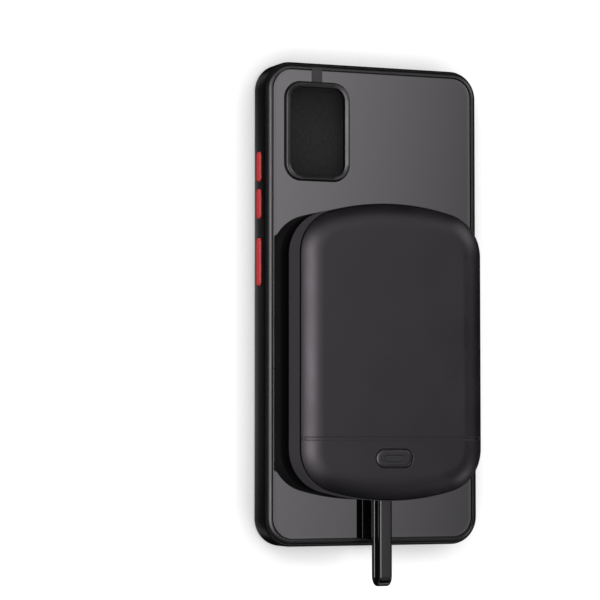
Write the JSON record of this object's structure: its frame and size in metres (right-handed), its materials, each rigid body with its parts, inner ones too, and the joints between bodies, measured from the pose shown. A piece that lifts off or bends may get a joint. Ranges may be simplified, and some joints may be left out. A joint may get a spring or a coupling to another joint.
{
  "type": "battery charging case",
  "caption": "Phone bumper case with glossy back panel and red side keys, and a battery pack with a crowned cover docked on its back, its flat charging lead stowed as a loop.",
  "frame": {"origin": "middle of the front opening, on the plane of the front lip that the case lies on", "axes": "+Z out of the back of the case, +Y to its top end, +X to the right as seen from the back"},
  "size_m": [0.0799, 0.1779, 0.0265],
  "materials": {
    "frame_rubber": "smooth moulded soft plastic, satin",
    "panel_gloss": "polished smoked plate",
    "key_red": "red moulded key cap",
    "plate_steel": "thin rolled sheet",
    "grip_rubber": "soft pad",
    "shell_black": "fine satin moulded",
    "cover_black": "fine satin moulded",
    "pill_black": "satin moulded key",
    "window_smoke": "smoked light window",
    "part_black": "moulded",
    "board_green": "lacquered laminate",
    "lamp_lens": "clear lens",
    "cell_foil": "laminated foil",
    "cell_soft": "foam and tape",
    "plated_metal": "nickel plated",
    "lead_black": "smooth jacket, satin sheen"
  },
  "bodies": {
    "case": {"bumper_frame": "frame_rubber", "back_panel": "panel_gloss", "docking_plate": "plate_steel", "grip_pad": "grip_rubber", "rear_shell": "shell_black", "front_cover": "cover_black", "switch_body": "part_black", "circuit_board": "board_green", "charging_chip": "part_black", "power_inductor": "part_black", "status_lights": "lamp_lens", "battery_cell": "cell_foil", "cell_pad": "cell_soft", "cell_foam": "cell_soft", "cell_tabs": "plated_metal", "magnets": "plated_metal", "input_socket": "plated_metal", "socket_tongue": "part_black", "charging_loop": "lead_black", "plug_body": "lead_black", "plug_shell": "plated_metal", "plug_dock": "part_black", "lead_clamp": "part_black"},
    "volume_up_key": {"volume_up_button": "key_red"},
    "volume_down_key": {"volume_down_button": "key_red"},
    "power_key": {"power_button": "key_red"},
    "pill_key": {"pack_button": "pill_black", "indicator_window": "window_smoke", "switch_plunger": "part_black"}
  },
  "joints": [
    {"name": "volume_up_press", "type": "slide", "parent": "case", "child": "volume_up_key", "axis": [1, 0, 0], "range_m": [0, 0.0004], "stiffness_N_per_m": 2000},
    {"name": "volume_down_press", "type": "slide", "parent": "case", "child": "volume_down_key", "axis": [1, 0, 0], "range_m": [0, 0.0004], "stiffness_N_per_m": 2000},
    {"name": "power_press", "type": "slide", "parent": "case", "child": "power_key", "axis": [1, 0, 0], "range_m": [0, 0.0004], "stiffness_N_per_m": 2000},
    {"name": "pill_press", "type": "slide", "parent": "case", "child": "pill_key", "axis": [0, 0, -1], "range_m": [0, 0.0005], "stiffness_N_per_m": 2000}
  ]
}
